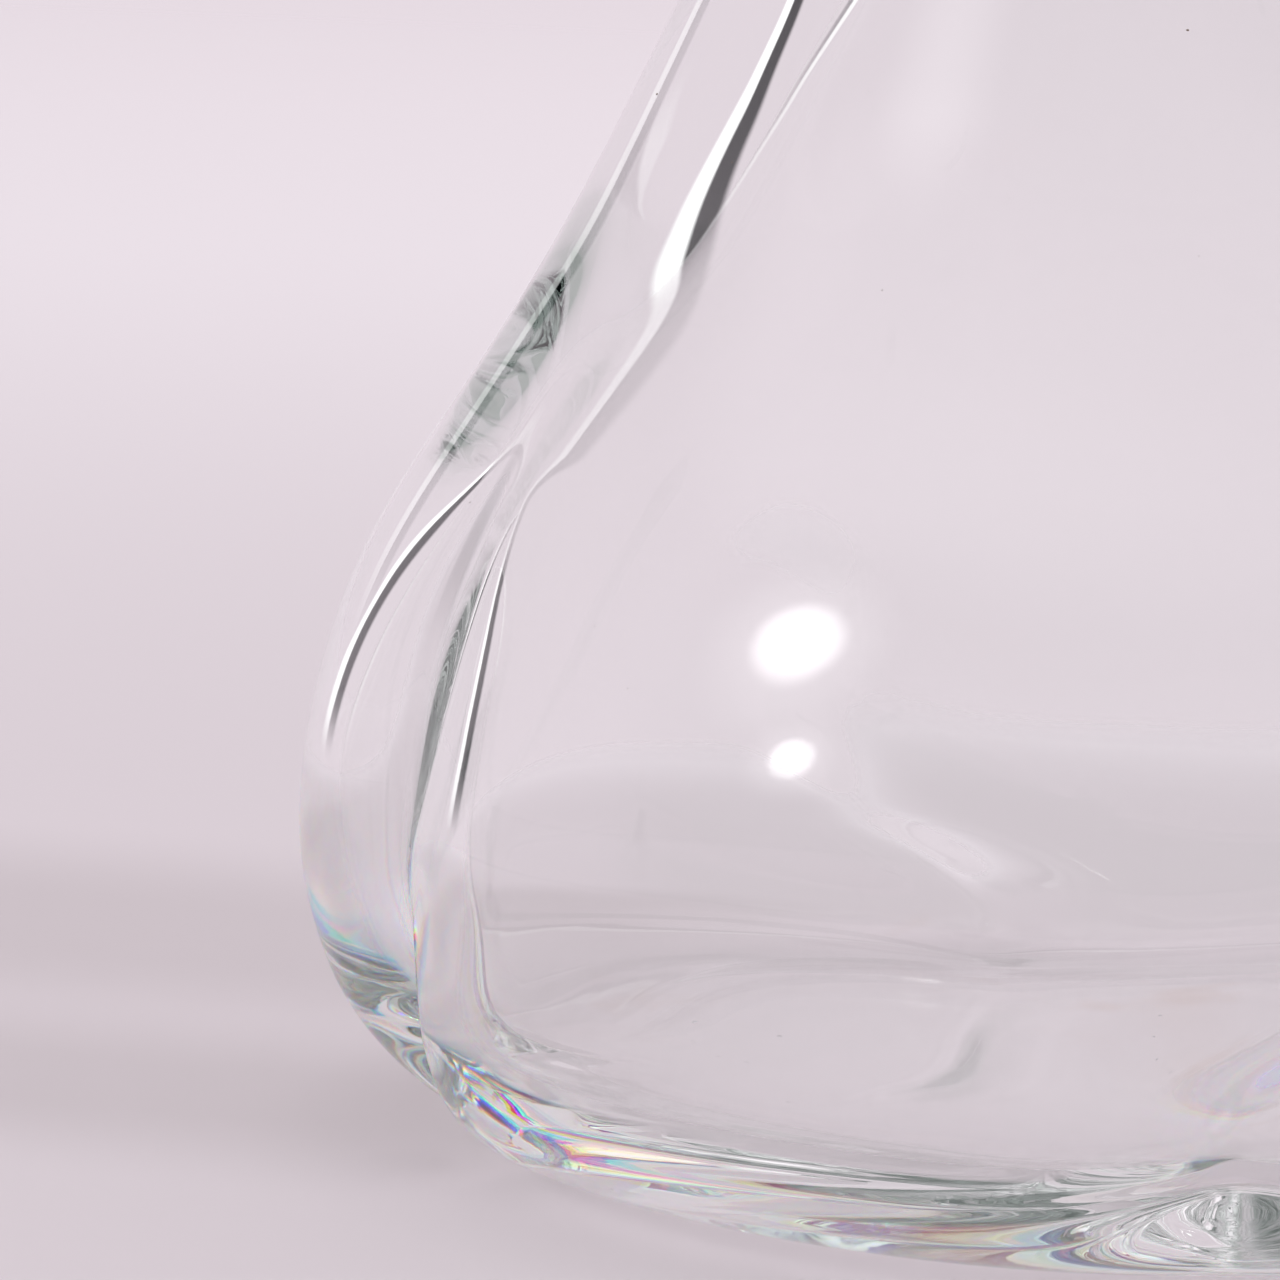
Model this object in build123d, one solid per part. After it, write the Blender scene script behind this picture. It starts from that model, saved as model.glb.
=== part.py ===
from build123d import *
import os
from math import cos, pi, radians, sin, sqrt

# A stoppered wine decanter in thick clear glass. All sizes are in millimetres.
# The origin is the centre of the foot, on the face the decanter rests on.
# +Z runs up the neck, and -Y is the front.
# The low, wide body is pressed into four lobes by four folds that swirl round it as they rise, the front and
# back ones most. They are deep at the foot and fade out on the shoulder.

# Driving dimensions of the decanter
LOBES = 4
BODY_HEIGHT = 238.0
FOOT_RADIUS = 52.0
BELLY_RADIUS = 76.6
BELLY_HEIGHT = 30.0
SHOULDER_RADIUS = 46.4
SHOULDER_HEIGHT = 102.0
NECK_RADIUS = 24.0
NECK_HEIGHT = 186.0
LIP_RADIUS = 31.0
FLOOR_THICKNESS = 8.5
SHOULDER_WALL = 14.2
NECK_BORE_RADIUS = 13.2

# The bore turned down into the neck from the mouth
BORE_BOTTOM = 180.0
BORE_RADIUS = 13.5

# The seat ground inside the mouth: a cone that opens upward
SEAT_BOTTOM = 206.0
SEAT_TOP = 233.0
SEAT_BOTTOM_RADIUS = 13.8
SEAT_TOP_RADIUS = 15.2
MOUTH_RADIUS = 19.0

# The stopper and the clear sleeve round its plug
SLEEVE_WALL = 1.5
RUNNING_GAP = 0.05
RIB_HEIGHT = 0.5
RIB_HALF_WIDTH = 1.5
RIBS = 3
PLUG_BOTTOM = 203.0
PLUG_CLEARANCE = 0.6
SLEEVE_BOTTOM = 209.0
SLEEVE_TOP = 231.0
FINIAL_BOTTOM = 241.0
FINIAL_HEIGHT = 62.0
FINIAL_RADIUS = 25.0
FINIAL_FOLD_DEPTH = 0.14
FINIAL_SWIRL = 60.0

# How each horizontal section is drawn
POINTS_PER_LOBE = 14
OUTER_FOLD_WIDTH = 0.12
CAVITY_FOLD_WIDTH = 0.22
FOLD_SHARPNESS = 3
FIRST_FOLD = 11.2


def fold_profile(angle, width):
    """1 in the bottom of a fold and 0 on the crown of a lobe; a wider fold has a rounder bottom."""
    across = abs(sin(LOBES * angle / 2))
    softened = (sqrt(across**2 + width**2) - width) / (sqrt(1 + width**2) - width)
    return (1 - softened) ** FOLD_SHARPNESS


def ring(height, crown_radius, fold_depth, width, front_swirl, side_swirl=0.0, swell=0.0):
    """A closed horizontal section: crown_radius on each lobe, less by fold_depth of itself in each fold.

    Angles are counted from the front fold. The front and back folds are carried round by front_swirl and
    the two between them by side_swirl. The front left and back right lobes stand out by swell.
    """
    count = LOBES * POINTS_PER_LOBE
    points = []
    for i in range(count):
        angle = 2 * pi * i / count
        crown = crown_radius + swell * max(0.0, -sin(2 * angle)) ** 2
        radius = crown * (1 - fold_depth * fold_profile(angle, width))
        swirl = front_swirl * cos(angle) ** 2 + side_swirl * sin(angle) ** 2
        bearing = angle + radians(FIRST_FOLD + swirl)
        points.append(Vector(radius * sin(bearing), -radius * cos(bearing), height))
    return Wire([Edge.make_spline(points, periodic=True)])


def blend(value, stations):
    """Value read along a list of (place, amount) stations with straight runs between them."""
    for (low, start), (high, end) in zip(stations, stations[1:]):
        if value <= high:
            return start + (end - start) * (value - low) / (high - low)
    return stations[-1][1]


# How deep the folds are as a share of the radius, at each height, on the outside and in the cavity
OUTER_FOLDS = [(0, 0.016), (12, 0.152), (30, 0.07), (50, 0.035), (70, 0.022), (90, 0.0)]
CAVITY_FOLDS = [(8, 0.12), (12, 0.14), (30, 0.08), (50, 0.045), (66, 0.012), (80, 0.0)]

# How far round the folds have swirled at each height, in degrees
FRONT_SWIRL = [(0, 0), (15, 1), (28, 11), (42, 20.5), (65, 28), (120, 40)]
SIDE_SWIRL = [(0, 5), (15, 9), (28, 14), (42, 16), (65, 15.5), (120, 15)]

# How far the front left and back right lobes swell past the others, in millimetres
SWELL = [(0, 0), (30, 0), (50, 1.5), (64, 2.6), (80, 1.5), (100, 0)]

# Outside of the body from foot to lip: height and crown radius
OUTSIDE = [
    (0, FOOT_RADIUS),
    (1.5, FOOT_RADIUS + 6.5),
    (5, FOOT_RADIUS + 14.3),
    (11, BELLY_RADIUS - 4.0),
    (19, BELLY_RADIUS - 1.0),
    (BELLY_HEIGHT, BELLY_RADIUS),
    (42, BELLY_RADIUS - 1.3),
    (55, BELLY_RADIUS - 5.4),
    (70, 62.8),
    (85, 54.3),
    (SHOULDER_HEIGHT, SHOULDER_RADIUS),
    (120, 38.6),
    (140, 31.4),
    (162, 26.4),
    (NECK_HEIGHT, NECK_RADIUS),
    (208, 25.4),
    (224, 28.6),
    (BODY_HEIGHT - 5, LIP_RADIUS),
    (BODY_HEIGHT - 1.5, LIP_RADIUS - 0.6),
    (BODY_HEIGHT, LIP_RADIUS - 2.6),
]

# Inside from the floor to the neck bore: height and crown radius
INSIDE = [
    (FLOOR_THICKNESS, FOOT_RADIUS + 2),
    (FLOOR_THICKNESS + 1, FOOT_RADIUS + 8),
    (FLOOR_THICKNESS + 3.5, FOOT_RADIUS + 14.5),
    (16, BELLY_RADIUS - 6.6),
    (23, BELLY_RADIUS - 4.9),
    (BELLY_HEIGHT + 2, BELLY_RADIUS - 4.5),
    (44, BELLY_RADIUS - 7.2),
    (57, BELLY_RADIUS - 13.8),
    (70, 53.4),
    (85, 42.6),
    (SHOULDER_HEIGHT, SHOULDER_RADIUS - SHOULDER_WALL),
    (120, 23.4),
    (140, 17.6),
    (162, 14.2),
    (NECK_HEIGHT, NECK_BORE_RADIUS),
]


def lobed_solid(outline, folds, width):
    """Sections along the outline, joined by one smooth skin."""
    sections = []
    for height, radius in outline:
        swirls = blend(height, FRONT_SWIRL), blend(height, SIDE_SWIRL)
        sections.append(ring(height, radius, blend(height, folds), width, *swirls, blend(height, SWELL)))
    return Solid.make_loft(sections)


def decanter_body():
    """The glass vessel: the lobed outside less the lobed cavity and the bore turned down from the mouth."""
    bore = [
        (0, BORE_BOTTOM),
        (BORE_RADIUS, BORE_BOTTOM),
        (BORE_RADIUS, SEAT_BOTTOM - 1),
        (SEAT_BOTTOM_RADIUS, SEAT_BOTTOM),
        (SEAT_TOP_RADIUS, SEAT_TOP),
        (MOUTH_RADIUS, BODY_HEIGHT),
        (MOUTH_RADIUS, BODY_HEIGHT + 5),
        (0, BODY_HEIGHT + 5),
    ]
    outside = lobed_solid(OUTSIDE, OUTER_FOLDS, OUTER_FOLD_WIDTH)
    cavity = lobed_solid(INSIDE, CAVITY_FOLDS, CAVITY_FOLD_WIDTH)
    hollow = cavity + turned(bore)
    return outside - hollow


def turned(outline):
    """A closed outline of (radius, height) points, turned once round the Z axis."""
    return revolve(Plane.XZ * make_face(Polyline(*outline, close=True)), Axis.Z)


def seat_radius(height):
    """Radius of the ground seat at a height."""
    share = (height - SEAT_BOTTOM) / (SEAT_TOP - SEAT_BOTTOM)
    return SEAT_BOTTOM_RADIUS + share * (SEAT_TOP_RADIUS - SEAT_BOTTOM_RADIUS)


def stopper_seal():
    """The clear sleeve: a thin cone with ribs round it that press on the seat."""
    valley = RUNNING_GAP + RIB_HEIGHT
    outer = [(seat_radius(SLEEVE_BOTTOM) - valley, SLEEVE_BOTTOM)]
    rib_pitch = (SLEEVE_TOP - SLEEVE_BOTTOM) / (RIBS + 1)
    for rib in range(1, RIBS + 1):
        middle = SLEEVE_BOTTOM + rib * rib_pitch
        low, high = middle - RIB_HALF_WIDTH, middle + RIB_HALF_WIDTH
        outer.append((seat_radius(low) - valley, low))
        outer.append((seat_radius(middle) - RUNNING_GAP, middle))
        outer.append((seat_radius(high) - valley, high))
    outer.append((seat_radius(SLEEVE_TOP) - valley, SLEEVE_TOP))
    inner = []
    for height in (SLEEVE_TOP, SLEEVE_BOTTOM):
        inner.append((seat_radius(height) - RUNNING_GAP - SLEEVE_WALL, height))
    return turned(outer + inner)


# Outline of the drop on top of the stopper: share of its height and crown radius
DROP = [
    (0.0, 15.0),
    (0.05, 18.5),
    (0.16, 23.5),
    (0.32, FINIAL_RADIUS),
    (0.52, 20.5),
    (0.72, 13.0),
    (0.88, 7.0),
    (0.97, 3.6),
    (1.0, 1.6),
]


def finial():
    """The drop held by the fingers, with four folds like those of the body, all swirled alike."""
    sections = []
    for share, radius in DROP:
        height = FINIAL_BOTTOM + share * FINIAL_HEIGHT
        depth = FINIAL_FOLD_DEPTH * sin(pi * share) ** 0.5
        swirl = FINIAL_SWIRL * share
        sections.append(ring(height, radius, depth, OUTER_FOLD_WIDTH, swirl, swirl))
    return Solid.make_loft(sections)


def stopper():
    """Solid glass: a plug with a waist for the sleeve, a shoulder over the mouth and the drop on top."""
    waist = RUNNING_GAP * 2 + SLEEVE_WALL
    collar = SLEEVE_BOTTOM - RUNNING_GAP
    plug = [
        (0, PLUG_BOTTOM),
        (seat_radius(PLUG_BOTTOM) - 2.0, PLUG_BOTTOM),
        (seat_radius(PLUG_BOTTOM + 2) - PLUG_CLEARANCE, PLUG_BOTTOM + 2),
        (seat_radius(SLEEVE_BOTTOM) - PLUG_CLEARANCE, SLEEVE_BOTTOM - 1),
        (seat_radius(collar) - waist, collar),
        (seat_radius(SLEEVE_TOP) - waist, SLEEVE_TOP + RUNNING_GAP),
        (seat_radius(SLEEVE_TOP) - PLUG_CLEARANCE, SLEEVE_TOP + 1),
        (SEAT_TOP_RADIUS - PLUG_CLEARANCE, SEAT_TOP),
        (SEAT_TOP_RADIUS - 2 * PLUG_CLEARANCE, FINIAL_BOTTOM + 1),
        (0, FINIAL_BOTTOM + 1),
    ]
    return turned(plug) + finial()


PARTS = {
    "decanter_body": decanter_body,
    "stopper": stopper,
    "stopper_seal": stopper_seal,
}

os.makedirs("parts", exist_ok=True)
for name, make in PARTS.items():
    export_step(make(), f"parts/{name}.step")
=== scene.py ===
import bisect
import math
import random

import bmesh
import bpy
from mathutils import Matrix, Vector, noise

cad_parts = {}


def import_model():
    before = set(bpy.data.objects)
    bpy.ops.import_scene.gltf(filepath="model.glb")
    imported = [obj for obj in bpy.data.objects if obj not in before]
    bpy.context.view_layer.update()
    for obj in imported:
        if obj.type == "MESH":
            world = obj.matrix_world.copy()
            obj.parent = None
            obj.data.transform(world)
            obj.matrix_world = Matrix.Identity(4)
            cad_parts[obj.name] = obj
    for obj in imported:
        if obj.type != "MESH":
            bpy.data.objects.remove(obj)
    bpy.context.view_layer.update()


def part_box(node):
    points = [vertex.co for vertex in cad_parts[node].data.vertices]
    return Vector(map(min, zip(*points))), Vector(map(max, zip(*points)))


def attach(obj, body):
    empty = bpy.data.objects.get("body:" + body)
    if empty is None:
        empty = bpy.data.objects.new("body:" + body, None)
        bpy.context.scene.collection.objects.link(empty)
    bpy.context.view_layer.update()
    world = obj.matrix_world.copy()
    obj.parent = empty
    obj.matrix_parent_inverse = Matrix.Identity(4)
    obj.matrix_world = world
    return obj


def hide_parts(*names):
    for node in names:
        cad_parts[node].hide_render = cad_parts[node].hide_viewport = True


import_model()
scene = bpy.context.scene

# The decanter in thick clear glass, with a lobed glass stopper.
# Shapes are drawn in design millimetres; MM turns one into metres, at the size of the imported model.
DESIGN_HEIGHT = 238.0
body_low, body_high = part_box("decanter_body")
MM = (body_high.z - body_low.z) / DESIGN_HEIGHT

LOBES = 4
FOOT_RADIUS = 52.0
BELLY_RADIUS = 76.6
BELLY_HEIGHT = 30.0
SHOULDER_RADIUS = 46.4
SHOULDER_HEIGHT = 102.0
NECK_RADIUS = 24.0
NECK_HEIGHT = 186.0
LIP_RADIUS = 31.0
FLOOR_THICKNESS = 8.5
SHOULDER_WALL = 14.2
NECK_BORE_RADIUS = 13.2
SEAT_BOTTOM = 206.0
SEAT_TOP = 233.0
SEAT_BOTTOM_RADIUS = 13.8
SEAT_TOP_RADIUS = 15.2
MOUTH_RADIUS = 19.0

OUTER_FOLD_WIDTH = 0.12
CAVITY_FOLD_WIDTH = 0.22
FOLD_SHARPNESS = 3
FIRST_FOLD = 11.2

# How deep the folds are as a share of the radius, at each height, on the outside and in the cavity
OUTER_FOLDS = [(0, 0.016), (12, 0.152), (30, 0.07), (50, 0.035), (70, 0.022), (90, 0.0), (400, 0.0)]
CAVITY_FOLDS = [(8, 0.12), (12, 0.14), (30, 0.08), (50, 0.045), (66, 0.012), (80, 0.0), (400, 0.0)]

# How far round the folds have swirled at each height, in degrees
FRONT_SWIRL = [(0, 0), (15, 1), (28, 11), (42, 20.5), (65, 28), (120, 40), (400, 40)]
SIDE_SWIRL = [(0, 5), (15, 9), (28, 14), (42, 16), (65, 15.5), (120, 15), (400, 15)]

# How far the front left and back right lobes swell past the others, in millimetres
SWELL = [(0, 0), (30, 0), (50, 1.5), (64, 2.6), (80, 1.5), (100, 0), (400, 0)]

# Outside from the foot to the lip, then inside from the cavity floor to the mouth: height and crown radius
OUTSIDE = [
    (0, FOOT_RADIUS),
    (1.5, FOOT_RADIUS + 6.5),
    (5, FOOT_RADIUS + 14.3),
    (11, BELLY_RADIUS - 4.0),
    (19, BELLY_RADIUS - 1.0),
    (BELLY_HEIGHT, BELLY_RADIUS),
    (42, BELLY_RADIUS - 1.3),
    (55, BELLY_RADIUS - 5.4),
    (70, 62.8),
    (85, 54.3),
    (SHOULDER_HEIGHT, SHOULDER_RADIUS),
    (120, 38.6),
    (140, 31.4),
    (162, 26.4),
    (NECK_HEIGHT, NECK_RADIUS),
    (208, 25.4),
    (224, 28.6),
    (DESIGN_HEIGHT - 5, LIP_RADIUS),
    (DESIGN_HEIGHT - 1.5, LIP_RADIUS - 0.6),
    (DESIGN_HEIGHT, LIP_RADIUS - 2.6),
]
INSIDE = [
    (FLOOR_THICKNESS, FOOT_RADIUS + 2),
    (FLOOR_THICKNESS + 1, FOOT_RADIUS + 8),
    (FLOOR_THICKNESS + 3.5, FOOT_RADIUS + 14.5),
    (16, BELLY_RADIUS - 6.6),
    (23, BELLY_RADIUS - 4.9),
    (BELLY_HEIGHT + 2, BELLY_RADIUS - 4.5),
    (44, BELLY_RADIUS - 7.2),
    (57, BELLY_RADIUS - 13.8),
    (70, 53.4),
    (85, 42.6),
    (SHOULDER_HEIGHT, SHOULDER_RADIUS - SHOULDER_WALL),
    (120, 23.4),
    (140, 17.6),
    (162, 14.2),
    (NECK_HEIGHT, NECK_BORE_RADIUS),
    (SEAT_BOTTOM, SEAT_BOTTOM_RADIUS),
    (SEAT_TOP, SEAT_TOP_RADIUS),
    (DESIGN_HEIGHT - 1.5, MOUTH_RADIUS - 1.5),
    (DESIGN_HEIGHT, MOUTH_RADIUS + 2),
]

# The stopper and the clear sleeve round its plug
SLEEVE_WALL = 1.5
RUNNING_GAP = 0.05
RIB_HEIGHT = 0.5
RIB_HALF_WIDTH = 1.5
RIBS = 3
PLUG_BOTTOM = 203.0
PLUG_CLEARANCE = 0.6
PLUG_CHAMFER = 2.0
# How far the stopper narrows inside the seat's top before the drop
NECKING = PLUG_CLEARANCE * 1.9
SLEEVE_BOTTOM = 209.0
SLEEVE_TOP = 231.0
FINIAL_BOTTOM = 241.0
FINIAL_HEIGHT = 62.0
FINIAL_RADIUS = 25.0
FINIAL_FOLD_DEPTH = 0.14
FINIAL_SWIRL = 60.0

# Outline of the drop on top of the stopper: share of its height and crown radius
DROP = [
    (0.0, 15.0),
    (0.05, 18.5),
    (0.16, 23.5),
    (0.32, FINIAL_RADIUS),
    (0.52, 20.5),
    (0.72, 13.0),
    (0.88, 7.0),
    (0.97, 3.6),
    (1.0, 1.6),
]


class Shader:
    """Short ways to add nodes to one node tree."""

    def __init__(self, tree):
        self.nodes = tree.nodes
        self.links = tree.links
        self.nodes.clear()

    def add(self, kind, **inputs):
        """A node of one kind, with its inputs set or linked by name."""
        node = self.nodes.new("ShaderNode" + kind)
        for name, value in inputs.items():
            self.put(node.inputs[name.replace("_", " ")], value)
        return node

    def put(self, socket, value):
        """Links an input to another node's output, or sets it to a plain value."""
        if isinstance(value, bpy.types.NodeSocket):
            self.links.new(value, socket)
        else:
            socket.default_value = value

    def maths(self, operation, *values):
        node = self.nodes.new("ShaderNodeMath")
        node.operation = operation
        for socket, value in zip(node.inputs, values):
            self.put(socket, value)
        return node.outputs[0]

    def times(self, first, *others):
        """All the values multiplied together, from left to right."""
        product = first
        for other in others:
            product = self.maths("MULTIPLY", product, other)
        return product

    def along(self, vector, direction):
        """How far a vector reaches in one direction."""
        node = self.nodes.new("ShaderNodeVectorMath")
        node.operation = "DOT_PRODUCT"
        self.put(node.inputs[0], vector)
        node.inputs[1].default_value = direction
        return node.outputs["Value"]

    def ramp(self, value, low, high, start=0.0, end=1.0):
        """start on the low side, end on the high side, an eased run between."""
        node = self.nodes.new("ShaderNodeMapRange")
        node.interpolation_type = "SMOOTHSTEP"
        inputs = ("Value", "From Min", "From Max", "To Min", "To Max")
        for name, amount in zip(inputs, (value, low, high, start, end)):
            self.put(node.inputs[name], amount)
        return node.outputs[0]

    def across(self, vector):
        """The sideways part of a place, its height left out."""
        node = self.nodes.new("ShaderNodeVectorMath")
        node.operation = "MULTIPLY"
        self.put(node.inputs[0], vector)
        node.inputs[1].default_value = (1, 1, 0)
        return node.outputs["Vector"]

    def length(self, vector):
        node = self.nodes.new("ShaderNodeVectorMath")
        node.operation = "LENGTH"
        self.put(node.inputs[0], vector)
        return node.outputs["Value"]

    def patches(self, place, scale, detail=2.0):
        """A cloudy pattern from 0 to 1."""
        node = self.add("TexNoise", Vector=place, Scale=scale, Detail=detail)
        return node.outputs[0]

    def layer(self, share, one, other):
        """The shader one where share is 0 and other where it is 1."""
        node = self.add("MixShader", Fac=share)
        self.put(node.inputs[1], one.outputs[0])
        self.put(node.inputs[2], other.outputs[0])
        return node

    def both(self, one, other):
        """The light of two shaders added together."""
        node = self.add("AddShader")
        self.put(node.inputs[0], one.outputs[0])
        self.put(node.inputs[1], other.outputs[0])
        return node

    def blend(self, share, one, other, way="MIX"):
        """The colour one where share is 0, and where it is 1 the colour other or its product with one."""
        node = self.nodes.new("ShaderNodeMix")
        node.data_type = "RGBA"
        node.blend_type = way
        self.put(node.inputs["Factor"], share)
        self.put(node.inputs[6], one)
        self.put(node.inputs[7], other)
        return node.outputs[2]


def new_material(name):
    """An empty node material, and the shader that fills it."""
    material = bpy.data.materials.new(name)
    material.use_nodes = True
    return material, Shader(material.node_tree)


GLASS_INDEX = 1.52
# How far the index of red and of blue light lie from that of green, overstated so that it shows
COLOUR_SPREAD = 0.024
COLOUR_BOTTOM = 3.0 * MM
COLOUR_TOP = 36.0 * MM
CLEAR = (0.998, 1.0, 0.999, 1)
TIDE_MARK = (0.93, 0.86, 0.80, 1)
# The spread shows only low down and where the glass is seen edge-on; Facing is 1 where it is edge-on
COLOUR_FADE_SHARE = 0.7
COLOUR_AT_FOOT = 0.25
COLOUR_RISE = 4
EDGE_ON_FROM = 0.35
EDGE_ON_FULL = 0.6
# Thick glass greys what is seen through it, green the least
DEPTH_TINT = (0.32, 0.40, 0.37, 1)
TINT_PER_METRE = 1.3
# Most of a noise pattern lies between these two values
NOISE_LOW = 0.3
NOISE_HIGH = 0.7
# The mouth's inner wall lies within the first radius and the outside of the neck beyond the second
MOUTH_WALL_WITHIN = MOUTH_RADIUS - 2.5
NECK_OUTSIDE_BEYOND = MOUTH_RADIUS - 2
# Nearly all the cavity's floor lies within the first radius, and the belly's outside beyond the second
CAVITY_FLOOR_WITHIN = FOOT_RADIUS + 12
BELLY_OUTSIDE_BEYOND = FOOT_RADIUS + 15
# The ground seat: how soft its ends are in millimetres, the size of its grain per metre, its roughness
SEAT_BOTTOM_BLUR = 0.4
SEAT_TOP_BLUR = 0.2
SEAT_GRAIN = 900.0
SEAT_SMOOTHEST = 0.22
SEAT_ROUGHEST = 0.38
# Dried wine, in millimetres from the cavity floor: it comes in between the first two depths below it,
# and fades out between the next two heights above it. Then how patchy it is.
WINE_STARTS_BELOW = 0.6
WINE_FULL_BELOW = 0.2
WINE_FADES = 3
WINE_GONE = 8
WINE_PATCHES = 38.0
WINE_PATCH_DETAIL = 6.0
WINE_PATCH_FROM = 0.60
WINE_PATCH_FULL = 0.72
WINE_STRONGEST = 0.5
# A shader's count of bounces is a whole number, so this tells none from one or more
NO_BOUNCE_YET = 0.5


def split_glass(s, colour):
    """Glass that bends red less than blue."""
    parts = []
    for channel, index in enumerate((-COLOUR_SPREAD, 0.0, COLOUR_SPREAD)):
        only = [0.0, 0.0, 0.0, 1.0]
        only[channel] = 1.0
        tinted = s.blend(1.0, colour, tuple(only), "MULTIPLY")
        parts.append(s.add("BsdfGlass", Color=tinted, Roughness=0.0, IOR=GLASS_INDEX + index))
    return s.both(s.both(parts[0], parts[1]), parts[2])


def dried_wine(s, place, height, from_axis):
    """How much dried wine there is at a place: patches on the cavity floor, none on the outside."""
    fades = (FLOOR_THICKNESS + WINE_FADES) * MM
    on_cavity_floor = s.ramp(height, fades, (FLOOR_THICKNESS + WINE_GONE) * MM, 1.0, 0.0)
    starts = (FLOOR_THICKNESS - WINE_STARTS_BELOW) * MM
    off_the_foot = s.ramp(height, starts, (FLOOR_THICKNESS - WINE_FULL_BELOW) * MM)
    pattern = s.patches(place, WINE_PATCHES, WINE_PATCH_DETAIL)
    patch = s.ramp(pattern, WINE_PATCH_FROM, WINE_PATCH_FULL, 0.0, WINE_STRONGEST)
    inside = s.ramp(from_axis, CAVITY_FLOOR_WITHIN * MM, BELLY_OUTSIDE_BEYOND * MM, 1.0, 0.0)
    return s.times(on_cavity_floor, off_the_foot, patch, inside)


def body_glass():
    """Clear glass: a ground seat in the mouth, faint dried wine low in the cavity, colour at the foot."""
    material, s = new_material("body_clear_glass")
    place = s.add("TexCoord").outputs["Object"]
    height = s.along(place, (0, 0, 1))
    from_axis = s.length(s.across(place))
    in_mouth = s.ramp(from_axis, MOUTH_WALL_WITHIN * MM, NECK_OUTSIDE_BEYOND * MM, 1.0, 0.0)
    seat_starts = (SEAT_BOTTOM - SEAT_BOTTOM_BLUR) * MM
    above_seat_bottom = s.ramp(height, seat_starts, (SEAT_BOTTOM + SEAT_BOTTOM_BLUR) * MM)
    seat_ends = (SEAT_TOP + SEAT_TOP_BLUR) * MM
    below_seat_top = s.ramp(height, (SEAT_TOP - SEAT_TOP_BLUR) * MM, seat_ends, 1.0, 0.0)
    ground = s.times(above_seat_bottom, below_seat_top, in_mouth)
    grain = s.patches(place, SEAT_GRAIN)
    roughness = s.times(ground, s.ramp(grain, NOISE_LOW, NOISE_HIGH, SEAT_SMOOTHEST, SEAT_ROUGHEST))
    colour = s.blend(dried_wine(s, place, height, from_axis), CLEAR, TIDE_MARK)
    plain = s.add("BsdfGlass", Color=colour, Roughness=roughness, IOR=GLASS_INDEX)
    first_hit = s.maths("LESS_THAN", s.add("LightPath").outputs["Ray Depth"], NO_BOUNCE_YET)
    low = s.ramp(height, COLOUR_TOP * COLOUR_FADE_SHARE, COLOUR_TOP, 1.0, 0.0)
    off_the_edge = s.ramp(height, COLOUR_BOTTOM, COLOUR_BOTTOM * COLOUR_RISE, COLOUR_AT_FOOT, 1.0)
    facing = s.add("LayerWeight", Blend=0.5).outputs["Facing"]
    edge_on = s.ramp(facing, EDGE_ON_FROM, EDGE_ON_FULL)
    coloured = s.times(first_hit, edge_on, s.times(low, off_the_edge))
    surface = s.layer(coloured, plain, split_glass(s, CLEAR))
    depth_tint = s.add("VolumeAbsorption", Color=DEPTH_TINT, Density=TINT_PER_METRE)
    s.add("OutputMaterial", Surface=surface.outputs[0], Volume=depth_tint.outputs[0])
    return material


# The plug is cut rough up to the first height, and the glass is polished from the second
PLUG_CUT_TO = SLEEVE_TOP + 0.5
POLISH_FROM = SLEEVE_TOP + 1
# The cut plug and the finger marks on the drop: size of the pattern per metre, then roughness
PLUG_GRAIN = 700.0
PLUG_SMOOTHEST = 0.18
PLUG_ROUGHEST = 0.32
FINGER_PATCHES = 70.0
FINGER_DETAIL = 5.0
FINGER_FROM = 0.58
FINGER_FULL = 0.75
FINGER_ROUGHNESS = 0.05


def stopper_glass():
    """Clear glass, cut rough on the plug where the sleeve grips it, with faint finger marks on the drop."""
    material, s = new_material("stopper_clear_glass")
    place = s.add("TexCoord").outputs["Object"]
    height = s.along(place, (0, 0, 1))
    plug = s.ramp(height, PLUG_CUT_TO * MM, POLISH_FROM * MM, 1.0, 0.0)
    pattern = s.patches(place, PLUG_GRAIN)
    grain = s.ramp(pattern, NOISE_LOW, NOISE_HIGH, PLUG_SMOOTHEST, PLUG_ROUGHEST)
    smears = s.patches(place, FINGER_PATCHES, FINGER_DETAIL)
    fingers = s.ramp(smears, FINGER_FROM, FINGER_FULL, 0.0, FINGER_ROUGHNESS)
    roughness = s.ramp(plug, 0.0, 1.0, fingers, grain)
    glass = s.add("BsdfGlass", Color=CLEAR, Roughness=roughness, IOR=GLASS_INDEX)
    s.add("OutputMaterial", Surface=glass.outputs[0])
    return material


SEAL_INDEX = 1.43
SEAL_COLOUR = (0.90, 0.92, 0.91, 1)
SEAL_HAZE = (0.97, 0.98, 0.97, 1)
SEAL_PATCHES = 160.0
SEAL_PATCH_DETAIL = 4.0
SEAL_SMOOTHEST = 0.16
SEAL_ROUGHEST = 0.34
SEAL_CLEARNESS = 0.92
MOULD_LINES = 900.0
MOULD_LINE_WANDER = 0.4
MOULD_LINE_STRENGTH = 0.25
MOULD_LINE_HEIGHT = 0.00005


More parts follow.
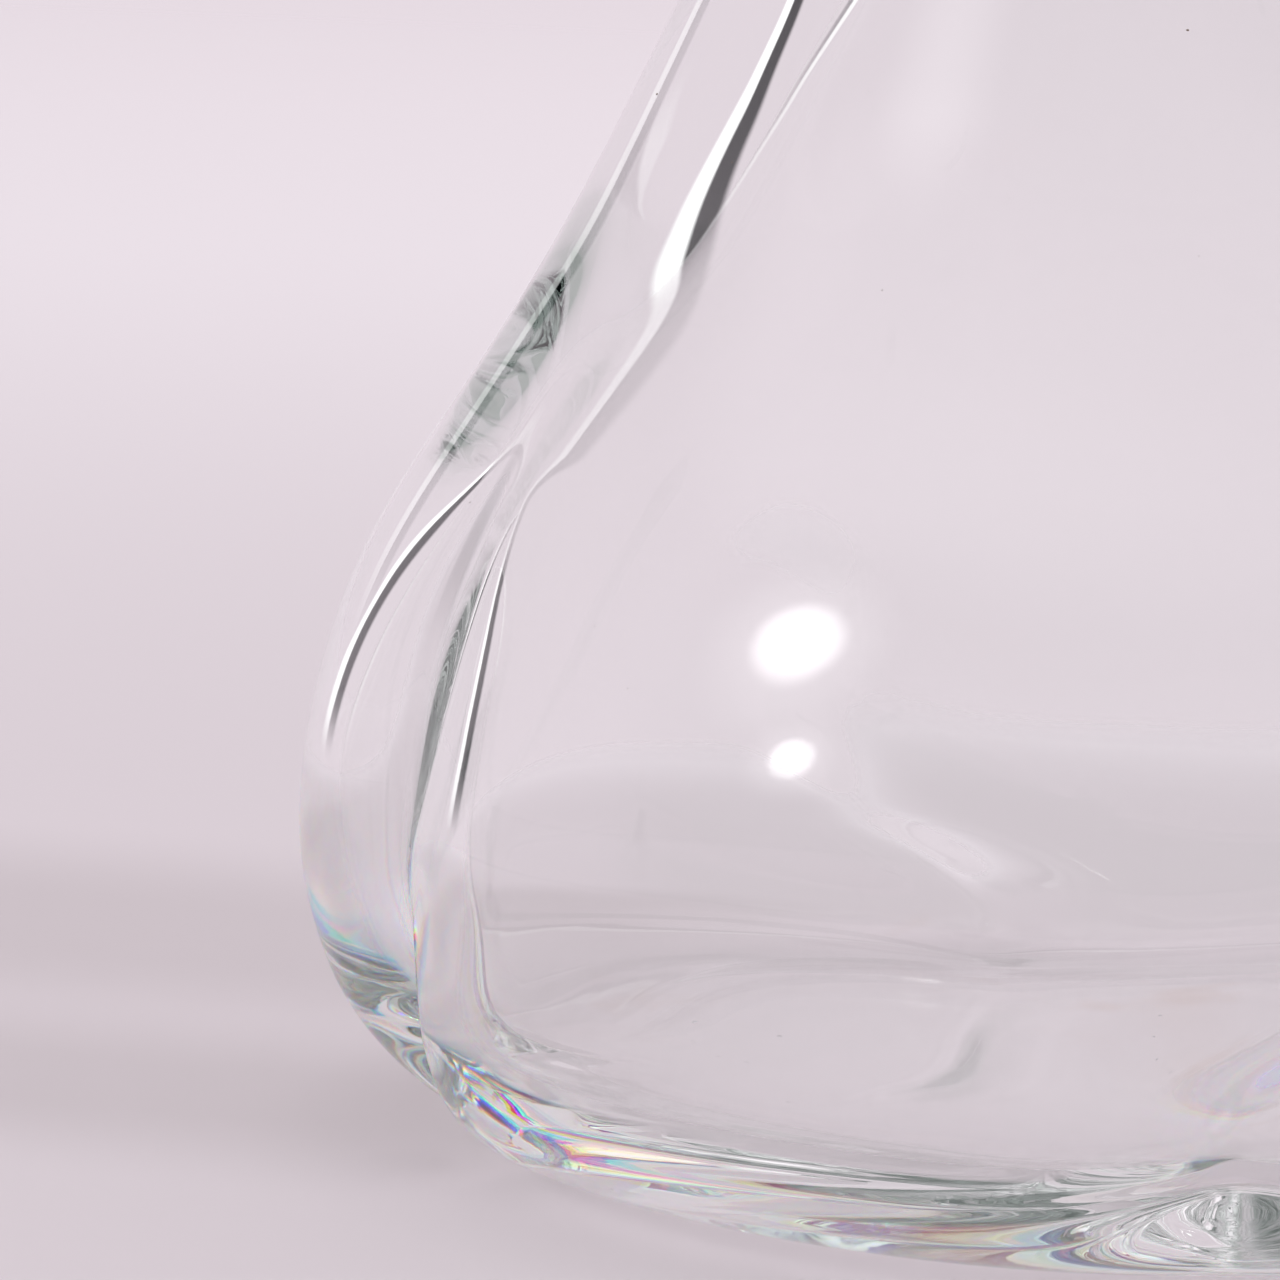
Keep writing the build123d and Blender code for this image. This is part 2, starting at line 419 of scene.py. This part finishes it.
def seal_silicone():
    """Clear silicone: cloudy in patches, with fine moulding lines round it."""
    material, s = new_material("seal_clear_silicone")
    place = s.add("TexCoord").outputs["Object"]
    cloud = s.patches(place, SEAL_PATCHES, SEAL_PATCH_DETAIL)
    lines = s.add("TexWave", Vector=place, Scale=MOULD_LINES, Distortion=MOULD_LINE_WANDER)
    lines.bands_direction = "Z"
    relief = s.add("Bump", Strength=MOULD_LINE_STRENGTH, Distance=MOULD_LINE_HEIGHT)
    s.put(relief.inputs["Height"], lines.outputs["Fac"])
    silicone = s.add("BsdfPrincipled", IOR=SEAL_INDEX, Normal=relief.outputs[0])
    s.put(silicone.inputs["Base Color"], s.blend(cloud, SEAL_COLOUR, SEAL_HAZE))
    roughness = s.ramp(cloud, NOISE_LOW, NOISE_HIGH, SEAL_SMOOTHEST, SEAL_ROUGHEST)
    s.put(silicone.inputs["Roughness"], roughness)
    s.put(silicone.inputs["Transmission Weight"], SEAL_CLEARNESS)
    s.add("OutputMaterial", Surface=silicone.outputs[0])
    return material


GAS_PATCHES = 600.0
GAS_BLUEST = (0.95, 0.96, 1.0, 1)
GAS_CLEAREST = (1.0, 1.0, 1.0, 1)
DUST_PATCHES = 250.0
DUST_GREY = (0.22, 0.20, 0.20, 1)
DUST_BROWN = (0.45, 0.36, 0.28, 1)


def bubble_gas():
    """The skin of a bubble inside the glass, bending light the other way."""
    material, s = new_material("bubble_gas")
    place = s.add("TexCoord").outputs["Object"]
    colour = s.blend(s.patches(place, GAS_PATCHES), GAS_BLUEST, GAS_CLEAREST)
    gas = s.add("BsdfGlass", Color=colour, Roughness=0.0, IOR=1 / GLASS_INDEX)
    s.add("OutputMaterial", Surface=gas.outputs[0])
    return material


def dust_specks():
    """Specks of lint and dust, grey to brown."""
    material, s = new_material("dust_specks")
    place = s.add("TexCoord").outputs["Object"]
    colour = s.blend(s.patches(place, DUST_PATCHES), DUST_GREY, DUST_BROWN)
    dust = s.add("BsdfDiffuse", Color=colour, Roughness=1.0)
    s.add("OutputMaterial", Surface=dust.outputs[0])
    return material


def natural_spline(places, values):
    """A function of place: the smooth cubic curve through (place, value), free at both ends."""
    n = len(places)
    step = [places[i + 1] - places[i] for i in range(n - 1)]
    bend = [0.0] * n
    upper = [0.0] * n
    for i in range(1, n - 1):
        rise = 6 * ((values[i + 1] - values[i]) / step[i] - (values[i] - values[i - 1]) / step[i - 1])
        pivot = 2 * (step[i] + step[i - 1]) - step[i - 1] * upper[i - 1]
        upper[i] = step[i] / pivot
        bend[i] = (rise - step[i - 1] * bend[i - 1]) / pivot
    for i in range(n - 2, 0, -1):
        bend[i] -= upper[i] * bend[i + 1]

    def read(place):
        i = min(max(bisect.bisect_right(places, place) - 1, 0), n - 2)
        h = step[i]
        a = (places[i + 1] - place) / h
        b = (place - places[i]) / h
        curve = ((a**3 - a) * bend[i] + (b**3 - b) * bend[i + 1]) * h * h / 6
        return a * values[i] + b * values[i + 1] + curve

    return read


def smooth_steps(stations):
    """A function of place that passes each (place, value) station with no overshoot."""
    places = [s[0] for s in stations]
    values = [s[1] for s in stations]
    slopes = [(values[i + 1] - values[i]) / (places[i + 1] - places[i]) for i in range(len(places) - 1)]
    tangents = [slopes[0]]
    for before, after in zip(slopes, slopes[1:]):
        flat = before * after <= 0
        tangents.append(0.0 if flat else 2 * before * after / (before + after))
    tangents.append(slopes[-1])

    def read(place):
        i = min(max(bisect.bisect_right(places, place) - 1, 0), len(places) - 2)
        h = places[i + 1] - places[i]
        t = min(max((place - places[i]) / h, 0.0), 1.0)
        return (
            (2 * t**3 - 3 * t**2 + 1) * values[i]
            + (t**3 - 2 * t**2 + t) * h * tangents[i]
            + (3 * t**2 - 2 * t**3) * values[i + 1]
            + (t**3 - t**2) * h * tangents[i + 1]
        )

    return read


outer_fold_at = smooth_steps(OUTER_FOLDS)
cavity_fold_at = smooth_steps(CAVITY_FOLDS)
front_swirl_at = smooth_steps(FRONT_SWIRL)
side_swirl_at = smooth_steps(SIDE_SWIRL)
swell_at = smooth_steps(SWELL)


def outline_points(stations, count):
    """count + 1 points (height, radius) evenly along the smooth curve through the stations."""
    lengths = [0.0]
    for (h0, r0), (h1, r1) in zip(stations, stations[1:]):
        lengths.append(lengths[-1] + math.hypot(h1 - h0, r1 - r0))
    height_at = natural_spline(lengths, [s[0] for s in stations])
    radius_at = natural_spline(lengths, [s[1] for s in stations])
    total = lengths[-1]
    return [(height_at(total * i / count), radius_at(total * i / count)) for i in range(count + 1)]


def fold_profile(angle, width):
    """1 in the bottom of a fold and 0 on the crown of a lobe."""
    across = abs(math.sin(LOBES * angle / 2))
    softened = (math.sqrt(across**2 + width**2) - width) / (math.sqrt(1 + width**2) - width)
    return (1 - softened) ** FOLD_SHARPNESS


AROUND = 320
FOLD_CROWDING = 0.5


def lobed_place(height, angle, crown, depth, width):
    """The place on one section at an angle counted from the front fold, in design millimetres."""
    swollen = crown + swell_at(height) * max(0.0, -math.sin(2 * angle)) ** 2
    radius = swollen * (1 - depth * fold_profile(angle, width))
    front = front_swirl_at(height) * math.cos(angle) ** 2
    side = side_swirl_at(height) * math.sin(angle) ** 2
    bearing = angle + math.radians(FIRST_FOLD + front + side)
    return Vector((radius * math.sin(bearing), -radius * math.cos(bearing), height))


def crowded_angles(around):
    """Angles all round that crowd towards the folds, where the glass curves most."""
    angles = []
    for i in range(around):
        even = 2 * math.pi * i / around
        angles.append(even - FOLD_CROWDING * math.sin(LOBES * even) / LOBES)
    return angles


def lobed_ring(height, crown, fold_at, width, wave=None):
    """Points round one section of the body, in metres."""
    points = []
    for angle in crowded_angles(AROUND):
        place = lobed_place(height, angle, crown, fold_at(height), width)
        if wave:
            outward = Vector((place.x, place.y, 0)).normalized()
            place += outward * wave(place)
        points.append(place * MM)
    return points


def skin(name, rings):
    """A smooth mesh over rings of equal count, each end closed by a fan."""
    around = len(rings[0])
    verts = [p for ring in rings for p in ring]
    faces = []
    for row in range(len(rings) - 1):
        for i in range(around):
            j = (i + 1) % around
            a, b = row * around, (row + 1) * around
            faces.append((a + i, a + j, b + j, b + i))
    for row, flip in ((0, True), (len(rings) - 1, False)):
        centre = len(verts)
        verts.append(sum(rings[row], Vector()) / around)
        for i in range(around):
            a = row * around + i
            b = row * around + (i + 1) % around
            faces.append((centre, b, a) if flip else (centre, a, b))
    return smooth_piece(name, verts, faces)


def in_scene(name, data):
    """A new object in the scene, made of a mesh or a camera."""
    thing = bpy.data.objects.new(name, data)
    scene.collection.objects.link(thing)
    return thing


def smooth_piece(name, verts, faces):
    """A piece with a smooth mesh of its own."""
    mesh = bpy.data.meshes.new(name)
    mesh.from_pydata([tuple(v) for v in verts], [], faces)
    mesh.shade_smooth()
    return in_scene(name, mesh)


def hand_wave(amount, size, seed):
    """The slight unevenness of hand-worked glass, as a change of radius in design millimetres."""
    offset = Vector((seed, 2 * seed, 3 * seed))

    def wave(place):
        return amount * noise.noise(place / size + offset)

    return wave


OUTER_ROWS = 230
INNER_ROWS = 190
FOOT_SHARES = (0.25, 0.5, 0.75, 0.9)
WAVE_FROM = 8.0
WAVE_TO = 195.0
# Hand-worked waviness outside and inside: most it adds, size of a wave, where in the pattern it starts
OUTER_WAVE = (0.06, 40.0, 3.1)
INNER_WAVE = (0.12, 30.0, 7.7)


def decanter_glass():
    """One closed skin: foot, outside, lip, cavity and cavity floor."""
    outer_wave = hand_wave(*OUTER_WAVE)
    inner_wave = hand_wave(*INNER_WAVE)
    rings = []
    foot_height, foot_radius = OUTSIDE[0]
    for share in FOOT_SHARES:
        rings.append(lobed_ring(foot_height, foot_radius * share, outer_fold_at, OUTER_FOLD_WIDTH))
    for height, radius in outline_points(OUTSIDE, OUTER_ROWS):
        wave = outer_wave if height > WAVE_FROM else None
        rings.append(lobed_ring(height, radius, outer_fold_at, OUTER_FOLD_WIDTH, wave))
    for height, radius in reversed(outline_points(INSIDE, INNER_ROWS)):
        wave = inner_wave if height < WAVE_TO else None
        rings.append(lobed_ring(height, radius, cavity_fold_at, CAVITY_FOLD_WIDTH, wave))
    floor_height, floor_radius = INSIDE[0]
    for share in reversed(FOOT_SHARES):
        rings.append(lobed_ring(floor_height, floor_radius * share, cavity_fold_at, CAVITY_FOLD_WIDTH))
    return skin("glass_body", rings)


def seat_radius(height):
    """Radius of the ground seat at a height."""
    share = (height - SEAT_BOTTOM) / (SEAT_TOP - SEAT_BOTTOM)
    return SEAT_BOTTOM_RADIUS + share * (SEAT_TOP_RADIUS - SEAT_BOTTOM_RADIUS)


# A corner is softened by points one and two steps from it; a step is this long, or a fifth of a short run
EDGE_ROUND = 0.12
MOST_OF_A_RUN = 0.2


def eased_corners(outline):
    """A (radius, height) outline with each corner cut by a hair, so that it shades as a soft edge."""
    points = [outline[0]]
    for before, corner, after in zip(outline, outline[1:], outline[2:]):
        for other, steps in ((before, (2, 1)), (after, (1, 2))):
            run = math.dist(corner, other)
            for step in steps:
                share = min(step * EDGE_ROUND / run, step * MOST_OF_A_RUN)
                radius = corner[0] + (other[0] - corner[0]) * share
                height = corner[1] + (other[1] - corner[1]) * share
                points.append((radius, height))
    points.append(outline[-1])
    return points


PLUG_AROUND = 128
DROP_ROWS = 70


def round_ring(radius, height):
    """A plain circle of points in metres, starting at the front fold."""
    points = []
    for angle in crowded_angles(PLUG_AROUND):
        bearing = angle + math.radians(FIRST_FOLD)
        place = Vector((radius * math.sin(bearing), -radius * math.cos(bearing), height))
        points.append(place * MM)
    return points


def drop_ring(share, crown):
    """A section of the drop, its four folds swirled alike."""
    depth = FINIAL_FOLD_DEPTH * math.sqrt(math.sin(math.pi * min(max(share, 0.0), 1.0)))
    points = []
    for angle in crowded_angles(PLUG_AROUND):
        radius = crown * (1 - depth * fold_profile(angle, OUTER_FOLD_WIDTH))
        bearing = angle + math.radians(FIRST_FOLD + FINIAL_SWIRL * share)
        height = FINIAL_BOTTOM + share * FINIAL_HEIGHT
        points.append(Vector((radius * math.sin(bearing), -radius * math.cos(bearing), height)) * MM)
    return points


def stopper_piece():
    """The plug with its waist for the sleeve, then the drop: one closed skin from the plug's foot up."""
    waist = RUNNING_GAP * 2 + SLEEVE_WALL
    collar = SLEEVE_BOTTOM - RUNNING_GAP
    shoulder = DROP[0][1]
    chamfer_top = PLUG_BOTTOM + PLUG_CHAMFER
    plug = [
        (seat_radius(PLUG_BOTTOM) - PLUG_CHAMFER * 2, PLUG_BOTTOM),
        (seat_radius(PLUG_BOTTOM) - PLUG_CHAMFER, PLUG_BOTTOM),
        (seat_radius(chamfer_top) - PLUG_CLEARANCE, chamfer_top),
        (seat_radius(SLEEVE_BOTTOM) - PLUG_CLEARANCE, SLEEVE_BOTTOM - 1),
        (seat_radius(collar) - waist, collar),
        (seat_radius(SLEEVE_TOP) - waist, SLEEVE_TOP + RUNNING_GAP),
        (seat_radius(SLEEVE_TOP) - PLUG_CLEARANCE, SLEEVE_TOP + 1),
        (SEAT_TOP_RADIUS - PLUG_CLEARANCE, SEAT_TOP),
        (SEAT_TOP_RADIUS - NECKING, FINIAL_BOTTOM),
        (shoulder, FINIAL_BOTTOM),
    ]
    rings = [round_ring(radius, height) for radius, height in eased_corners(plug)]
    drop = [(share * FINIAL_HEIGHT, radius) for share, radius in DROP]
    for rise, radius in outline_points(drop, DROP_ROWS)[1:]:
        rings.append(drop_ring(rise / FINIAL_HEIGHT, radius))
    return skin("glass_stopper", rings)


RIB_STEPS = 8
SEAL_BEVEL = 0.15
SEAL_BEVEL_SEGMENTS = 2
SEAL_SHARPEST = 50


def seal_piece():
    """The clear sleeve: a thin cone whose ribs press on the seat."""
    valley = RUNNING_GAP + RIB_HEIGHT
    rib_pitch = (SLEEVE_TOP - SLEEVE_BOTTOM) / (RIBS + 1)
    outer = [(seat_radius(SLEEVE_BOTTOM) - valley, SLEEVE_BOTTOM)]
    for rib in range(1, RIBS + 1):
        middle = SLEEVE_BOTTOM + rib * rib_pitch
        for step in range(-RIB_STEPS, RIB_STEPS + 1):
            height = middle + RIB_HALF_WIDTH * step / RIB_STEPS
            bulge = RIB_HEIGHT * math.cos(math.pi * step / RIB_STEPS / 2) ** 2
            outer.append((seat_radius(height) - valley + bulge, height))
    outer.append((seat_radius(SLEEVE_TOP) - valley, SLEEVE_TOP))
    inner = []
    for height in (SLEEVE_TOP, SLEEVE_BOTTOM):
        inner.append((seat_radius(height) - RUNNING_GAP - SLEEVE_WALL, height))
    rings = [round_ring(radius, height) for radius, height in outer + inner]
    verts = [p for ring in rings for p in ring]
    faces = []
    for row in range(len(rings)):
        above = (row + 1) % len(rings)
        for i in range(PLUG_AROUND):
            j = (i + 1) % PLUG_AROUND
            a, b = row * PLUG_AROUND, above * PLUG_AROUND
            faces.append((a + i, a + j, b + j, b + i))
    piece = smooth_piece("silicone_seal", verts, faces)
    bevel = piece.modifiers.new("soft_edges", "BEVEL")
    bevel.width = SEAL_BEVEL * MM
    bevel.segments = SEAL_BEVEL_SEGMENTS
    bevel.limit_method = "ANGLE"
    bevel.angle_limit = math.radians(SEAL_SHARPEST)
    piece.modifiers.new("flat_faces", "WEIGHTED_NORMAL")
    return piece


# The narrower of a pebble's two widths is at least this share of the other
PEBBLE_NARROWEST = 0.6


def pebbles(name, places_and_sizes, rng, flatness):
    """Small uneven balls, each squashed by flatness along its own random axis."""
    work = bmesh.new()
    for place, size in places_and_sizes:
        turn = Vector((rng.uniform(-1, 1), rng.uniform(-1, 1), rng.uniform(-1, 1))).normalized()
        axis = turn.to_track_quat("Z", "Y").to_matrix().to_4x4()
        width = size * MM * rng.uniform(PEBBLE_NARROWEST, 1.0)
        shape = Matrix.Diagonal((size * MM, width, size * MM * flatness, 1))
        matrix = Matrix.Translation(place * MM) @ axis @ shape
        bmesh.ops.create_icosphere(work, subdivisions=3, radius=1.0, matrix=matrix)
    mesh = bpy.data.meshes.new(name)
    work.to_mesh(mesh)
    work.free()
    mesh.shade_smooth()
    return in_scene(name, mesh)


# Sizes are radii, and all of these are in millimetres apart from the counts, draws and flatness.
# A draw is the number that starts the random order, so that it comes out the same each run.
SEEDS = 9
SEED_DRAW = 11
SEED_NEAREST = 12
SEED_MARGIN = 4
SEED_DEPTH = 2.5
SEED_SIZES = (0.15, 0.4)
SEED_FLATNESS = 0.9
SPECKS = 26
SPECK_DRAW = 4
SPECK_HEIGHTS = (14, 150)
SPECK_SIZES = (0.06, 0.16)
SPECK_FLATNESS = 0.5


def seeds_piece():
    """Tiny bubbles caught in the thick glass of the base."""
    rng = random.Random(SEED_DRAW)
    found = []
    for _ in range(SEEDS):
        spread = rng.uniform(0, 2 * math.pi)
        out = rng.uniform(SEED_NEAREST, FOOT_RADIUS - SEED_MARGIN)
        height = rng.uniform(SEED_DEPTH, FLOOR_THICKNESS - SEED_DEPTH)
        place = Vector((out * math.cos(spread), out * math.sin(spread), height))
        found.append((place, rng.uniform(*SEED_SIZES)))
    return pebbles("glass_seeds", found, rng, SEED_FLATNESS)


def specks_piece():
    """Dust on the outside of the glass."""
    rng = random.Random(SPECK_DRAW)
    radius_at = natural_spline([s[0] for s in OUTSIDE], [s[1] for s in OUTSIDE])
    found = []
    for _ in range(SPECKS):
        height = rng.uniform(*SPECK_HEIGHTS)
        angle = rng.uniform(0, 2 * math.pi)
        place = lobed_place(height, angle, radius_at(height), outer_fold_at(height), OUTER_FOLD_WIDTH)
        found.append((place, rng.uniform(*SPECK_SIZES)))
    return pebbles("dust", found, rng, SPECK_FLATNESS)


def finish_piece(piece, material, rides_on, stands_for=None):
    """Gives a piece its material and the body it moves with, and hides the node it stands for."""
    piece.data.materials.append(material)
    if stands_for:
        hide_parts(stands_for)
    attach(piece, rides_on)


finish_piece(decanter_glass(), body_glass(), "decanter", "decanter_body")
finish_piece(stopper_piece(), stopper_glass(), "stopper", "stopper")
finish_piece(seal_piece(), seal_silicone(), "seal_carrier", "stopper_seal")
finish_piece(seeds_piece(), bubble_gas(), "decanter")
finish_piece(specks_piece(), dust_specks(), "decanter")


# The table: pale, and see-through far away, so that it runs out into the backdrop with no edge.
# Its sizes and distances from the decanter are in metres.
FLOOR_HALF_SIZE = 12.0
FLOOR_DROP = 0.0002
# Painted sheen: the table's colour pales with distance from the decanter, in place of its glancing
# reflection of the wall
FLOOR_NEAR = (0.75, 0.705, 0.73, 1)
FLOOR_FAR = (0.895, 0.858, 0.886, 1)
SHEEN_PAINTED_FROM = 0.10
SHEEN_PAINTED_FULL_AT = 1.0
CLEARER_FROM = 0.9
CLEAREST_AT = 2.4
# Soft shadows the glass throws to the left on the table: centre and half width along Y, in millimetres
SHADOW_BANDS = [(78, 66), (-4, 44)]
SHADOW_CORE = 0.2
SHADOW_SHADE = (0.87, 0.865, 0.86, 1)
# The bands lean slightly off the Y axis, start under the glass and fade with distance
SHADOW_LEAN = (0.12, 1, 0)
SHADOW_FULL_X = -0.06
SHADOW_START_X = -0.02
SHADOW_FADES = 0.15
SHADOW_GONE = 0.5


def floor_material():
    """Pale and matt: darker near the glass and paler far off as a painted sheen, with two bands of painted
    shadow to the left of it.
    """
    material, s = new_material("floor_pale")
    place = s.add("NewGeometry").outputs["Position"]
    distance = s.length(place)
    # Painted sheen: paler with distance from the glass
    colour = s.blend(s.ramp(distance, SHEEN_PAINTED_FROM, SHEEN_PAINTED_FULL_AT), FLOOR_NEAR, FLOOR_FAR)
    left = s.ramp(s.along(place, (1, 0, 0)), SHADOW_FULL_X, SHADOW_START_X, 1.0, 0.0)
    near = s.ramp(distance, SHADOW_FADES, SHADOW_GONE, 1.0, 0.0)
    reach = s.times(left, near)
    depth = s.along(place, SHADOW_LEAN)
    for centre, half_width in SHADOW_BANDS:
        off_centre = s.maths("ABSOLUTE", s.maths("SUBTRACT", depth, centre * MM))
        band = s.ramp(off_centre, SHADOW_CORE * half_width * MM, half_width * MM, 1.0, 0.0)
        shaded = s.blend(1.0, colour, SHADOW_SHADE, "MULTIPLY")
        colour = s.blend(s.times(band, reach), colour, shaded)
    diffuse = s.add("BsdfDiffuse", Color=colour)
    far_off = s.ramp(distance, CLEARER_FROM, CLEAREST_AT)
    surface = s.layer(far_off, diffuse, s.add("BsdfTransparent"))
    s.add("OutputMaterial", Surface=surface.outputs[0])
    return material


def floor():
    """One large flat sheet, a hair below the foot."""
    mesh = bpy.data.meshes.new("floor")
    corners = [(-1, -1), (1, -1), (1, 1), (-1, 1)]
    verts = [(x * FLOOR_HALF_SIZE, y * FLOOR_HALF_SIZE, -FLOOR_DROP) for x, y in corners]
    mesh.from_pydata(verts, [], [(0, 1, 2, 3)])
    mesh.materials.append(floor_material())
    in_scene("floor", mesh)


floor()

# The studio hangs on the camera, so the light falls the same way in every view.
# Directions are (right, up, ahead) as the camera sees them.
BACKDROP = (0.785, 0.70, 0.755, 1)
STRIP = (1.35, 1.36, 1.36, 1)
GAP = (0.012, 0.014, 0.016, 1)
SIDE_WALLS = (0.77, 0.69, 0.74, 1)
ROOM = (0.48, 0.48, 0.48, 1)
KEY_LIGHT = Vector((-0.709, 0.469, -0.527)).normalized()
KEY_HALF_ANGLE = math.radians(6.9)
KEY_STRENGTH = 9.0
KEY_GLOW = 2.0
# The key looks smaller where it is seen through the glass
KEY_SHRUNK = 0.5
OVERHEAD_STRENGTH = 0.5
# How far from straight ahead the backdrop ends, in degrees: less low at the sides than high over the object
BACKDROP_END_LOW = 36.0
BACKDROP_END_HIGH = 49.5
# It moves out between these two lifts, in degrees above level as seen round the middle of the view
LOW_LIFT = 36.0
HIGH_LIFT = 50.0
# The strip lies inside that edge and the dark gap outside it, in degrees
STRIP_INNER = 5.0
STRIP_OUTER = 1.0
GAP_WIDTH = 4.2
STRIP_BLUR = 1.5
GAP_BLUR = 1.0
# The strip and the gap fade away between these two, low down; 1 is straight up for the camera
RING_FADE_LOW = 0.14
RING_FADE_HIGH = 0.30
# The room begins beside the camera and is full this far behind it; -1 is straight behind
ROOM_FROM = 0.0
ROOM_FULL = -0.5
OVERHEAD_COLOUR = (1.0, 0.97, 1.0, 1)
OVERHEAD_FROM = 0.70
OVERHEAD_FULL = 0.85
# The key's disc and its glow, as shares of its half angle: where they start to fade and where they end
KEY_CORE = 0.6
KEY_EDGE = 1.3
GLOW_EDGE = 2.6


def studio_walls(s, ahead, up, aside):
    """Backdrop ahead, a bright strip and a dark gap round its edge, then side walls and the room behind."""
    lift = s.maths("DEGREES", s.maths("ARCTAN2", up, aside))
    off_axis = s.maths("DEGREES", s.maths("ARCCOSINE", ahead))
    edge = s.ramp(lift, LOW_LIFT, HIGH_LIFT, BACKDROP_END_LOW, BACKDROP_END_HIGH)
    past = s.maths("SUBTRACT", off_axis, edge)
    colour = s.blend(s.ramp(past, -STRIP_INNER, STRIP_BLUR - STRIP_INNER), BACKDROP, STRIP)
    colour = s.blend(s.ramp(past, -STRIP_OUTER, 0.0), colour, GAP)
    colour = s.blend(s.ramp(past, GAP_WIDTH - GAP_BLUR, GAP_WIDTH + GAP_BLUR), colour, SIDE_WALLS)
    colour = s.blend(s.ramp(up, RING_FADE_LOW, RING_FADE_HIGH, 1.0, 0.0), colour, BACKDROP)
    return s.blend(s.ramp(ahead, ROOM_FROM, ROOM_FULL), colour, ROOM)


def key_light(s, look):
    """One round light with a soft edge, which matt surfaces are not lit by."""
    unbounced = s.maths("LESS_THAN", s.add("LightPath").outputs["Diffuse Depth"], NO_BOUNCE_YET)
    through_glass = s.add("LightPath").outputs["Transmission Depth"]
    size = s.ramp(through_glass, 0.0, 1.0, KEY_HALF_ANGLE, KEY_HALF_ANGLE * KEY_SHRUNK)
    off_key = s.maths("ARCCOSINE", s.along(look, KEY_LIGHT))
    off_key = s.maths("DIVIDE", off_key, size)
    disc = s.ramp(off_key, KEY_CORE, KEY_EDGE, KEY_STRENGTH, 0.0)
    glow = s.ramp(off_key, KEY_CORE, GLOW_EDGE, KEY_GLOW, 0.0)
    strength = s.times(s.maths("ADD", disc, glow), unbounced)
    return s.add("Background", Color=(1, 1, 1, 1), Strength=strength)


def world():
    """The studio round the decanter: walls, a soft light overhead and the key."""
    air = bpy.data.worlds.new("studio")
    scene.world = air
    air.use_nodes = True
    s = Shader(air.node_tree)
    look = s.add("TexCoord").outputs["Camera"]
    ahead = s.along(look, (0, 0, 1))
    up = s.along(look, (0, 1, 0))
    aside = s.maths("ABSOLUTE", s.along(look, (1, 0, 0)))
    walls = s.add("Background", Color=studio_walls(s, ahead, up, aside))
    overhead_strength = s.ramp(up, OVERHEAD_FROM, OVERHEAD_FULL, 0.0, OVERHEAD_STRENGTH)
    overhead = s.add("Background", Color=OVERHEAD_COLOUR, Strength=overhead_strength)
    lit = s.both(s.both(walls, overhead), key_light(s, look))
    s.add("OutputWorld", Surface=lit.outputs[0])


world()

# The camera looks down at the lower left of the body from the front. Angles are in degrees and lengths in
# millimetres; the aim is measured from the centre of the foot, to the right and up as the camera sees it.
CAMERA_ELEVATION = 11.73
CAMERA_DISTANCE = 698.0
CAMERA_ROLL = 3.377
PIXELS_PER_MM = 10.5
FRAME_PIXELS = 1280
AIM_RIGHT = -45.7
AIM_UP = 46.4
SENSOR_WIDTH = 36.0
# Nothing nearer or farther than this is drawn, in metres
NEAREST_SEEN = 0.05
FARTHEST_SEEN = 40


def camera():
    """The photograph's view: the lens follows from the scale of the frame at the camera's distance."""
    data = bpy.data.cameras.new("camera")
    data.sensor_width = SENSOR_WIDTH
    data.lens = data.sensor_width * PIXELS_PER_MM * CAMERA_DISTANCE / FRAME_PIXELS
    data.clip_start = NEAREST_SEEN
    data.clip_end = FARTHEST_SEEN
    eye = in_scene("camera", data)
    tilt = math.radians(CAMERA_ELEVATION)
    ahead = Vector((0, math.cos(tilt), -math.sin(tilt)))
    right = Vector((1, 0, 0))
    up = Vector((0, math.sin(tilt), math.cos(tilt)))
    place = -ahead * CAMERA_DISTANCE * MM
    aim = (right * AIM_RIGHT + up * AIM_UP) * MM
    roll = math.radians(CAMERA_ROLL)
    lean = up * math.cos(roll) - right * math.sin(roll)
    look = (aim - place).normalized()
    side = look.cross(lean).normalized()
    over = side.cross(look)
    turn = Matrix((side, over, -look)).transposed().to_4x4()
    eye.matrix_world = Matrix.Translation(place) @ turn
    scene.camera = eye


camera()

# Light turns many times inside thick glass before it leaves, and fewer bounces leave black patches
GLASS_BOUNCES = 96
DIFFUSE_BOUNCES = 6
SEE_THROUGH_BOUNCES = 32
scene.cycles.max_bounces = GLASS_BOUNCES
scene.cycles.transmission_bounces = GLASS_BOUNCES
scene.cycles.glossy_bounces = GLASS_BOUNCES
scene.cycles.diffuse_bounces = DIFFUSE_BOUNCES
scene.cycles.transparent_max_bounces = SEE_THROUGH_BOUNCES
scene.cycles.blur_glossy = 0.0
scene.cycles.use_denoising = True
scene.view_settings.view_transform = "Standard"
